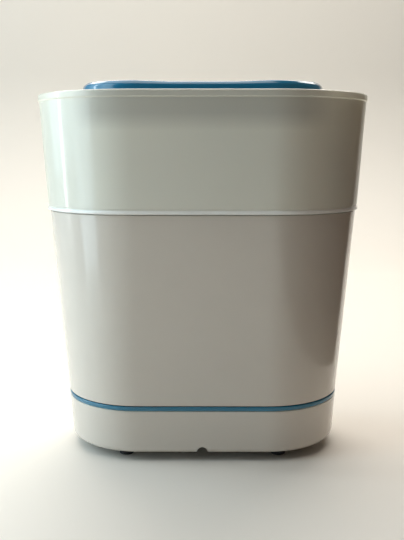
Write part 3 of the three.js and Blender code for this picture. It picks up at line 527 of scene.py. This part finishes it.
DECK_TOP = BASE_TOP - 2.2
DECK_BOTTOM = DECK_TOP - WALL
DECK_OPENING = DISH_HIGH.x - 5.5  # the deck laps over the dish's flange
COVER_RADIUS = COVER_HIGH.y
BUTTON_Z = (LIGHT_LOW.z + LIGHT_HIGH.z) / 2
LIGHT_FLANGE = 1.7
LIGHT_RADIUS = (LIGHT_HIGH.x - LIGHT_LOW.x) / 2 - LIGHT_FLANGE
NOTCH_RADIUS = 4.9
NOTCH_RISE = 1.4  # of the notch's centre above the base's lower edge
EDGE_RADIUS = 10.5
BASE_DRAFT = 0.06  # radius lost for each millimetre down, as for the other drafts
BASKET_DRAFT = 0.08
BASKET_FOOT = BASKET_RIM - (BASKET_HIGH.z - BASKET_LOW.z) * BASKET_DRAFT
SEAT_PLAY = 1.2  # between the basket's inside and the seat that centres it
SEAT_OUTER = BASKET_FOOT - WALL - SEAT_PLAY
COVER_BOTTOM = FOOT_TOP + 11.0
COVER_TOP = FOOT_TOP + 13.5
COVER_MIDDLE = 10.0


def base_radius(z):
    return BASE_RADIUS - (BASE_TOP - z) * BASE_DRAFT


def build_base():
    lip = COVER_RADIUS + 0.5
    lip_outer = lip + 1.9
    lip_top = COVER_HIGH.z + GAP
    shell = oval("base_shell", [
        (MIDDLE, DECK_TOP, 0),
        (SEAT_OUTER - 3.4, DECK_TOP, 2.0),
        (SEAT_OUTER - 3.0, SEAT_TOP, 1.1),
        (SEAT_OUTER, SEAT_TOP, 1.1),
        (SEAT_OUTER, BASE_TOP, 0.8),
        (BASE_RADIUS, BASE_TOP, 0.7),
        (base_radius(FOOT_TOP), FOOT_TOP, EDGE_RADIUS),
        (lip, FOOT_TOP, 0.5),
        (lip, lip_top, 0.3),
        (lip_outer, lip_top, 0.3),
        (lip_outer, FOOT_TOP + EDGE_RADIUS - 7.0, 0.5),
        (base_radius(FOOT_TOP) - 3.4, FOOT_TOP + 3.6, EDGE_RADIUS - WALL),
        (BASE_RADIUS - WALL - 0.4, DECK_BOTTOM, 0.6),
        (MIDDLE, DECK_BOTTOM, 0),
    ], steps=8)
    front = base_radius(BUTTON_Z)
    middle, button, notch = [(0, 0)], [(0, BUTTON_Z)], [(0, FOOT_TOP + NOTCH_RISE)]
    cutters = [
        rods("deck_opening", middle, DECK_OPENING, DECK_BOTTOM - 2, DECK_TOP + 2, sides=96),
        rods("button_hole", button, LIGHT_RADIUS + GAP, front - 8, front + 6, True, 64),
        rods("notch", notch, NOTCH_RADIUS, -front - 6, 6 - COVER_RADIUS, True, 48),
    ]
    for cutter in cutters:
        combine(shell, cutter, "DIFFERENCE")
    soften(shell, 0.35, 50, 2)
    finish_piece(shell, "base", WHITE, "white_shell", "base_housing")


def build_ring():
    inner, outer = SEAT_OUTER + GAP, RING_HIGH.y
    finish_piece(oval("trim_ring", [
        (inner, RING_LOW.z, 0.2),
        (outer, RING_LOW.z, 0.9),
        (outer, RING_HIGH.z, 0.9),
        (inner, RING_HIGH.z, 0.2),
    ], closed=True), "base", TRIM_BLUE, "blue_gloss", "accent_ring")


def build_feet():
    for number in range(1, 5):
        name = f"foot_{number}"
        low, high = span(name)
        middle = (low + high) / 2
        radius = (high.x - low.x) / 2
        hollow, core, spigot, groove = 0.7, 0.6, 3.0, radius - 0.7
        pad = turned(f"rubber_foot_{number}", [
            (core, hollow, 0),
            (radius * 0.45, hollow, 0.4),
            (radius * 0.55, 0.0, 0.4),
            (radius - 0.3, 0.0, 0.9),
            (radius, FOOT_TOP * 0.45, 0.4),
            (groove, FOOT_TOP * 0.5, 0.3),
            (groove, FOOT_TOP * 0.62, 0.3),
            (radius, FOOT_TOP * 0.67, 0.4),
            (radius, FOOT_TOP, 0.3),
            (spigot, FOOT_TOP, 0.2),
            (spigot, high.z, 0.5),
            (core, high.z, 0),
        ], middle, steps=48)
        finish_piece(pad, "base", FEET_RUBBER, "feet_rubber", name)


def build_cover():
    cover = oval("under_cover", [
        (COVER_MIDDLE, COVER_BOTTOM, 0),
        (COVER_RADIUS, COVER_BOTTOM, 0.8),
        (COVER_RADIUS, COVER_TOP, 0.4),
        (COVER_MIDDLE, COVER_TOP, 0),
    ])
    winder = COVER_RADIUS * 0.4
    winder_low = FOOT_TOP + 2
    combine(cover, oval("winder", [
        (winder, winder_low, 0.6),
        (winder + WALL, winder_low, 0.6),
        (winder + WALL, COVER_BOTTOM + PAST, 0),
        (winder, COVER_BOTTOM + PAST, 0),
    ], closed=True), "UNION")
    lug_half = 7
    for side in (-1, 1):
        for end in (-1, 1):
            near, far = sorted((side * (winder + 1), side * (winder + 10)))
            low = (end * HALF_SPAN - lug_half, near, winder_low)
            high = (end * HALF_SPAN + lug_half, far, FOOT_TOP + 3.8)
            combine(cover, block("lug", low, high, 0.5), "UNION")
    feet = [centre(f"foot_{n}") for n in range(1, 5)]
    screws = [centre(f"cover_screw_{n}") for n in range(1, 5)]
    post, socket, gland = (FOOT_HIGH.x - FOOT_LOW.x) / 2 + 0.4, 3.3, 5.0
    posts = rods("posts", feet, post, FOOT_TOP + GAP, COVER_BOTTOM + PAST, sides=40)
    combine(cover, posts, "UNION")
    through = (COVER_BOTTOM - PAST, COVER_TOP + PAST)
    cutters = [
        rods("sockets", feet, socket, FOOT_TOP - PAST, FOOT_TOP + 8, sides=32),
        rods("screw_holes", screws, SCREW_HOLE, *through),
        rods("gland_hole", [GLAND], gland, *through, sides=40),
    ]
    for cutter in cutters:
        combine(cover, cutter, "DIFFERENCE")
    soften(cover, 0.3, 50, 2)
    finish_piece(cover, "base", INNER_WHITE, "inner_white", "bottom_cover")


def build_button():
    face = BUTTON_HIGH.y
    radius = (BUTTON_HIGH.x - BUTTON_LOW.x) / 2
    around = (0, 0, BUTTON_Z)
    core, stem, cap_back = 0.4, 2.4, face - 5
    cap = turned("start_button", [
        (core, BUTTON_LOW.y, 0),
        (stem, BUTTON_LOW.y, 0.2),
        (stem, cap_back, 0.3),
        (radius, cap_back, 0.3),
        (radius, face, 1.0),
        (radius * 0.7, face - 0.25, 3.0),
        (core, face - 0.5, 0),
    ], around, along_y=True)
    finish_piece(cap, "power_button", WHITE, "white_shell", "power_button")
    bore = radius + GAP
    shoulder = LIGHT_LOW.y + 1.4
    ring = turned("button_light", [
        (bore, LIGHT_LOW.y, 0.1),
        (LIGHT_HIGH.x, LIGHT_LOW.y, 0.2),
        (LIGHT_HIGH.x, shoulder, 0.2),
        (LIGHT_RADIUS, shoulder, 0.2),
        (LIGHT_RADIUS, LIGHT_HIGH.y, 0.8),
        (bore, LIGHT_HIGH.y, 0.3),
    ], around, closed=True, along_y=True)
    finish_piece(ring, "base", CLEAR, "clear_plastic", "light_ring")


# ---- Baskets and plate -----------------------------------------------------------------------


FLANGE_THICK = 1.8  # of the small basket's flange, which the lid stands on


def basket_radius(z):
    return BASKET_FOOT + (z - BASKET_LOW.z) * BASKET_DRAFT


def grid(columns, rows, pitch_x, pitch_y, radius, margin):
    """Places on a regular grid that keep the margin inside an oval of that radius."""
    places = []
    for i in range(columns):
        for j in range(rows):
            x, y = (i - (columns - 1) / 2) * pitch_x, (j - (rows - 1) / 2) * pitch_y
            beyond = max(0.0, abs(x) - HALF_SPAN)
            if math.hypot(beyond, y) <= radius - margin:
                places.append((x, y))
    return places


def build_large_basket():
    bottom, top = BASKET_LOW.z, BASKET_HIGH.z
    floor_top = FLOOR_BOTTOM + WALL
    basket = oval("main_basket", [
        (MIDDLE, floor_top, 0),
        (basket_radius(floor_top) - WALL, floor_top, 4.0),
        (basket_radius(top) - WALL, top, 0.5),
        (basket_radius(top), top, 0.7),
        (basket_radius(bottom), bottom, 0.8),
        (basket_radius(bottom) - WALL, bottom, 0.5),
        (basket_radius(FLOOR_BOTTOM) - WALL, FLOOR_BOTTOM, 0.5),
        (MIDDLE, FLOOR_BOTTOM, 0),
    ])
    places = grid(15, 3, 2 * HALF_SPAN / 12, 30, basket_radius(floor_top) - WALL, 18)
    cutter = slots("floor_slots", places, 24, 4, FLOOR_BOTTOM - PAST, floor_top + PAST)
    combine(basket, cutter, "DIFFERENCE")
    finish_piece(basket, "large_basket", WHITE, "white_shell", "large_basket")


def build_small_basket():
    flange_bottom = BASKET_HIGH.z + GAP
    flange_top = flange_bottom + FLANGE_THICK
    floor_bottom = flange_top + 1
    floor_top = floor_bottom + WALL
    flange = SMALL_HIGH.y
    foot = flange - 4.0
    rim = foot + (SMALL_HIGH.z - flange_top) * 0.02
    skirt = basket_radius(SMALL_LOW.z) - WALL - 0.6
    skirt_inner = skirt - 1.8
    wall = 2
    basket = oval("upper_basket", [
        (MIDDLE, floor_top, 0),
        (foot - wall, floor_top, 3.0),
        (rim - wall, SMALL_HIGH.z, 0.6),
        (rim, SMALL_HIGH.z, 0.6),
        (foot, flange_top, 0.6),
        (flange, flange_top, 0.6),
        (flange, flange_bottom, 0.3),
        (skirt, flange_bottom, 0.2),
        (skirt, SMALL_LOW.z, 0.6),
        (skirt_inner, SMALL_LOW.z, 0.4),
        (skirt_inner, floor_bottom, 0.5),
        (MIDDLE, floor_bottom, 0),
    ])
    places = grid(11, 3, 2 * HALF_SPAN / 8, 36, foot - wall, 22)
    cutter = slots("tray_slots", places, 28, 5, floor_bottom - PAST, floor_top + PAST)
    combine(basket, cutter, "DIFFERENCE")
    finish_piece(basket, "small_basket", INNER_WHITE, "inner_white", "small_basket")


def build_plate():
    bottom = SMALL_HIGH.z + GAP
    top = PLATE_HIGH.z
    rim = PLATE_HIGH.y
    skirt = rim - 3.1
    skirt_inner = skirt - 1.8
    plate = oval("steam_plate", [
        (MIDDLE, top, 0),
        (rim, top, 0.8),
        (rim, bottom, 0.3),
        (skirt, bottom, 0.2),
        (skirt, PLATE_LOW.z, 0.5),
        (skirt_inner, PLATE_LOW.z, 0.5),
        (skirt_inner, bottom, 0.4),
        (MIDDLE, bottom, 0),
    ])
    pitch, hole = 12, 3.0
    places = grid(19, 11, pitch, pitch, skirt_inner, 7)
    cutter = rods("plate_holes", places, hole, bottom - PAST, top + PAST, sides=20)
    combine(plate, cutter, "DIFFERENCE")
    finish_piece(plate, "perforated_plate", INNER_WHITE, "inner_white", "perforated_plate")


# ---- Lid -------------------------------------------------------------------------------------

HANDLE_RADIUS = HANDLE_HIGH.y
HANDLE_BAND = 8.0
WELL_RADIUS = HANDLE_RADIUS - HANDLE_BAND - 2.2
WELL_DEPTH = 26.0
LID_DRAFT = 0.062
LID_MIDDLE = 15.0
BEAD_RADIUS = BASKET_RIM + 2
HANDLE_SCREWS = [centre(f"handle_screw_{n}") for n in range(1, 5)]


def lid_radius(z):
    return BEAD_RADIUS - 0.6 + (z - LID_LOW.z - BEAD_HEIGHT) * LID_DRAFT


def build_lid():
    bottom, top = LID_LOW.z, LID_HIGH.z
    bead_top = bottom + BEAD_HEIGHT
    groove = lid_radius(bead_top) - 0.35
    under = top - WALL
    well = top - WELL_DEPTH
    flange = SMALL_HIGH.y
    ledge = BASKET_HIGH.z + GAP + FLANGE_THICK + GAP
    lid = oval("lid_cover", [
        (LID_MIDDLE, well, 0),
        (WELL_RADIUS - 4.4, well, 4.0),
        (WELL_RADIUS - 0.4, top, 2.0),
        (LIP_RADIUS, top, 1.8),
        (LIP_RADIUS, top - 5.4, 0.9),
        (lid_radius(top - 6.4), top - 6.4, 0.8),
        (lid_radius(bead_top + 1.6), bead_top + 1.6, 0.3),
        (groove, bead_top + 1.0, 0.3),
        (groove, bead_top, 0.2),
        (BEAD_RADIUS, bead_top - 0.5, 1.0),
        (BEAD_RADIUS, bottom, 0.8),
        (flange + 0.5, bottom, 0.3),
        (flange + 0.5, ledge, 0.2),
        (flange - 1.2, ledge, 0.2),
        (lid_radius(bead_top + 2) - WALL, bead_top + 2, 1.0),
        (lid_radius(under) - WALL, under, 4.0),
        (WELL_RADIUS + 2.2, under, 1.5),
        (WELL_RADIUS - 2.0, well - WALL, 4.0),
        (LID_MIDDLE, well - WALL, 0),
    ])
    vent_x = HALF_SPAN + (LIP_RADIUS + WELL_RADIUS) / 2
    vent_pitch, half_length, half_width = 9, 7, 1.5
    for side in (-1, 1):
        for x, y in ((side * vent_x, row * vent_pitch) for row in (-1, 0, 1)):
            low = (x - half_length, y - half_width, under - PAST)
            high = (x + half_length, y + half_width, top + PAST)
            combine(lid, block("vent", low, high), "DIFFERENCE")
    holes = rods("screw_holes", HANDLE_SCREWS, SCREW_HOLE, under - PAST, top + PAST)
    combine(lid, holes, "DIFFERENCE")
    finish_piece(lid, "lid", MILKY, "milky_lid", "lid_shell", "lid_top")


def saddle(piece, height):
    """Lifts the top half of the handle by up to 1 mm towards its two ends."""
    low = HANDLE_LOW.z
    start = HALF_SPAN * 0.5  # where the rise begins, as long as the rise itself
    for vertex in piece.data.vertices:
        x, _, z = vertex.co / MM
        share = max(0.0, (z - low) / height - 0.5) * 2
        along = min(1.0, max(0.0, (abs(x) - start) / start))
        vertex.co.z += share * along * along * (3 - 2 * along) * MM


def build_handle():
    low = HANDLE_LOW.z
    top = HANDLE_HIGH.z - 1.0
    outer, inner = HANDLE_RADIUS, HANDLE_RADIUS - HANDLE_BAND
    band = oval("carry_handle", [
        (inner, low, 0.6),
        (outer, low, 1.0),
        (outer, top - 2.4, 3.0),
        (outer - 3.2, top, 2.4),
        (inner + 1.6, top, 1.6),
        (inner, top - 3, 1.6),
    ], closed=True, steps=6)
    half, thick = 14.0, 6.5
    grip_top = top - 1.5
    reach = HALF_SPAN + inner + 2
    bm = bmesh.new()
    outline = rounded([
        (-half, grip_top - thick, 2.4),
        (half, grip_top - thick, 2.4),
        (half, grip_top, 2.8),
        (-half, grip_top, 2.8),
    ], closed=True, steps=6)
    stops = 25
    rings = []
    for i in range(stops):
        x = -reach + 2 * reach * i / (stops - 1)
        rings.append([bm.verts.new((x, y, z)) for y, z in outline])
    for first, second in zip(rings, rings[1:]):
        for j in range(len(outline)):
            k = (j + 1) % len(outline)
            bm.faces.new((first[j], second[j], second[k], first[k]))
    bm.faces.new(rings[0])
    bm.faces.new(list(reversed(rings[-1])))
    combine(band, to_mesh("grip", bm), "UNION")
    pilots = rods("pilots", HANDLE_SCREWS, SCREW_HOLE, low - PAST, top - 2.6)
    combine(band, pilots, "DIFFERENCE")
    saddle(band, top - low)
    soften(band, 1.2, 38, 3)
    finish_piece(band, "lid", BLUE, "blue_gloss", "lid_handle")


# ---- Carried-over CAD nodes ------------------------------------------------------------------


def dress_nodes():
    """Gives each CAD node that is shown as it is a material of its own kind."""
    plain = {
        "cord_gland": FEET_RUBBER,
        "plate_gasket": SILICONE,
        "switch_plunger": SILICONE,
        "heating_plate": STEEL,
        "plate_clamp": ZINC,
        "heating_element": STEEL,
        "thermostat_bracket": ZINC,
        "heat_spreader": ALUMINIUM,
        "thermostat": GREY_PLASTIC,
        "thermal_fuse": BRASS,
        "circuit_board": BOARD,
        "power_relay": GREY_PLASTIC,
        "switch_housing": GREY_PLASTIC,
        "power_lamp": CLEAR,
        "terminal_block": INNER_WHITE,
    }
    for group in ("plate_nut", "cover_screw", "handle_screw", "board_screw"):
        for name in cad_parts:
            if name.startswith(group):
                plain[name] = ZINC
    for name, (label, colour) in WIRE_COLOURS.items():
        plain[name] = moulded(label, colour, 0.4, grain=0.05)
    for name, material in plain.items():
        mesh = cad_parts[name].data
        mesh.materials.clear()
        mesh.materials.append(material)


build_base()
build_ring()
build_feet()
build_cover()
build_button()
build_large_basket()
build_small_basket()
build_plate()
build_lid()
build_handle()
dress_nodes()


# ---- Floor, light and camera -----------------------------------------------------------------


WORLD_LEFT = (0.70, 0.82, 0.95, 1.0)
WORLD_RIGHT = (0.035, 0.022, 0.014, 1.0)
WORLD_STRENGTH = 0.06

LIGHTS = [  # name, place and target in metres, size in metres, watts, colour
    ("window_left", (-1.7, 0.15, 0.9), (0, 0, 0.15), (1.5, 1.8), 15.0, (0.62, 0.86, 1.0)),
    ("window_near", (-0.56, -0.29, 0.36), (-0.04, -0.05, 0.17), (0.25, 0.8), 1.8, (0.70, 0.90, 1.0)),
    ("window_gap", (-1.5, 0.12, 0.5), (-0.12, -0.07, 0.27), (0.05, 1.4), 5.0, (0.9, 0.97, 1.0)),
    ("window_back", (0.0, 1.3, 1.5), (0, 0, 0.2), (2.4, 1.2), 50.0, (1.0, 0.95, 0.88)),
    ("ceiling", (-0.3, -0.1, 1.9), (0, 0, 0), (1.8, 1.4), 17.0, (1.0, 0.93, 0.84)),
    ("table_bounce", (-0.5, -1.3, 0.2), (0, 0, 0.06), (1.0, 0.3), 0.2, (1.0, 0.80, 0.60)),
]


def matt_material(name, colour, roughness):
    material, tree = new_material(name)
    put_out(tree, principled(tree, colour, roughness))
    return material


def build_floor():
    """A table that bends up into a wall behind the object, as the camera sees it."""
    bm = bmesh.new()
    near, far, high, bend = -1600.0, 1500.0, 2200.0, 500.0
    half = 2600.0
    bend_steps = 12
    line = [(near, 0.0)]
    for i in range(bend_steps + 1):
        angle = math.pi / 2 * i / bend_steps
        line.append((far - bend + bend * math.sin(angle), bend - bend * math.cos(angle)))
    line.append((far, high))
    rings = [[bm.verts.new((x, y, z)) for x in (-half, half)] for y, z in line]
    for first, second in zip(rings, rings[1:]):
        bm.faces.new((first[0], first[1], second[1], second[0]))
    floor = to_mesh("floor", bm)
    for polygon in floor.data.polygons:
        polygon.use_smooth = True
    floor.data.materials.append(matt_material("pale_floor", (0.80, 0.76, 0.70, 1.0), 0.6))


def area_light(name, place, target, size, power, colour):
    light = bpy.data.lights.new(name, "AREA")
    light.shape = "RECTANGLE"
    light.size, light.size_y = size
    light.energy = power
    light.color = colour
    lamp = bpy.data.objects.new(name, light)
    lamp.location = place
    lamp.rotation_euler = (Vector(target) - Vector(place)).to_track_quat("-Z", "Y").to_euler()
    bpy.context.scene.collection.objects.link(lamp)


def dark_card():
    """A brown card beside the right end, unseen by the camera, which darkens that end.

    It stops no lamp light. It takes the place of the pale surroundings in bounced light and reflections.
    """
    card = block("dark_card", (222, -900, 40), (228, 60, 640))
    card.data.materials.append(matt_material("dark_card", (0.06, 0.028, 0.012, 1.0), 0.8))
    card.visible_camera = False
    card.visible_shadow = False


def build_light():
    world = bpy.data.worlds.new("soft_room")
    world.use_nodes = True
    tree = world.node_tree
    tree.nodes.clear()
    direction = node(tree, "ShaderNodeTexCoord").outputs["Generated"]
    across = node(tree, "ShaderNodeSeparateXYZ", {0: direction}).outputs["X"]
    share = mapped(tree, across, 0.0, 1.0, -0.9, 0.9)
    colour = mixed(tree, share, WORLD_LEFT, WORLD_RIGHT)
    background = node(tree, "ShaderNodeBackground", {"Color": colour, "Strength": WORLD_STRENGTH})
    node(tree, "ShaderNodeOutputWorld", {"Surface": background.outputs[0]})
    bpy.context.scene.world = world
    bpy.context.scene.view_settings.view_transform = "Standard"
    for light in LIGHTS:
        area_light(*light)


CAMERA_PLACE = (0.003, -0.717, 0.275)  # metres
CAMERA_PITCH = 0.153  # radians below the level
CAMERA_YAW = 0.005
CAMERA_LENS = 50.7
CAMERA_SENSOR = 36.0
CAMERA_REACH = 20.0


def build_camera():
    camera = bpy.data.cameras.new("camera")
    camera.lens = CAMERA_LENS
    camera.sensor_width = CAMERA_SENSOR
    camera.clip_end = CAMERA_REACH
    eye = bpy.data.objects.new("camera", camera)
    eye.location = CAMERA_PLACE
    eye.rotation_euler = (math.pi / 2 - CAMERA_PITCH, 0.0, CAMERA_YAW)
    bpy.context.scene.collection.objects.link(eye)
    bpy.context.scene.camera = eye


build_floor()
dark_card()
build_light()
build_camera()
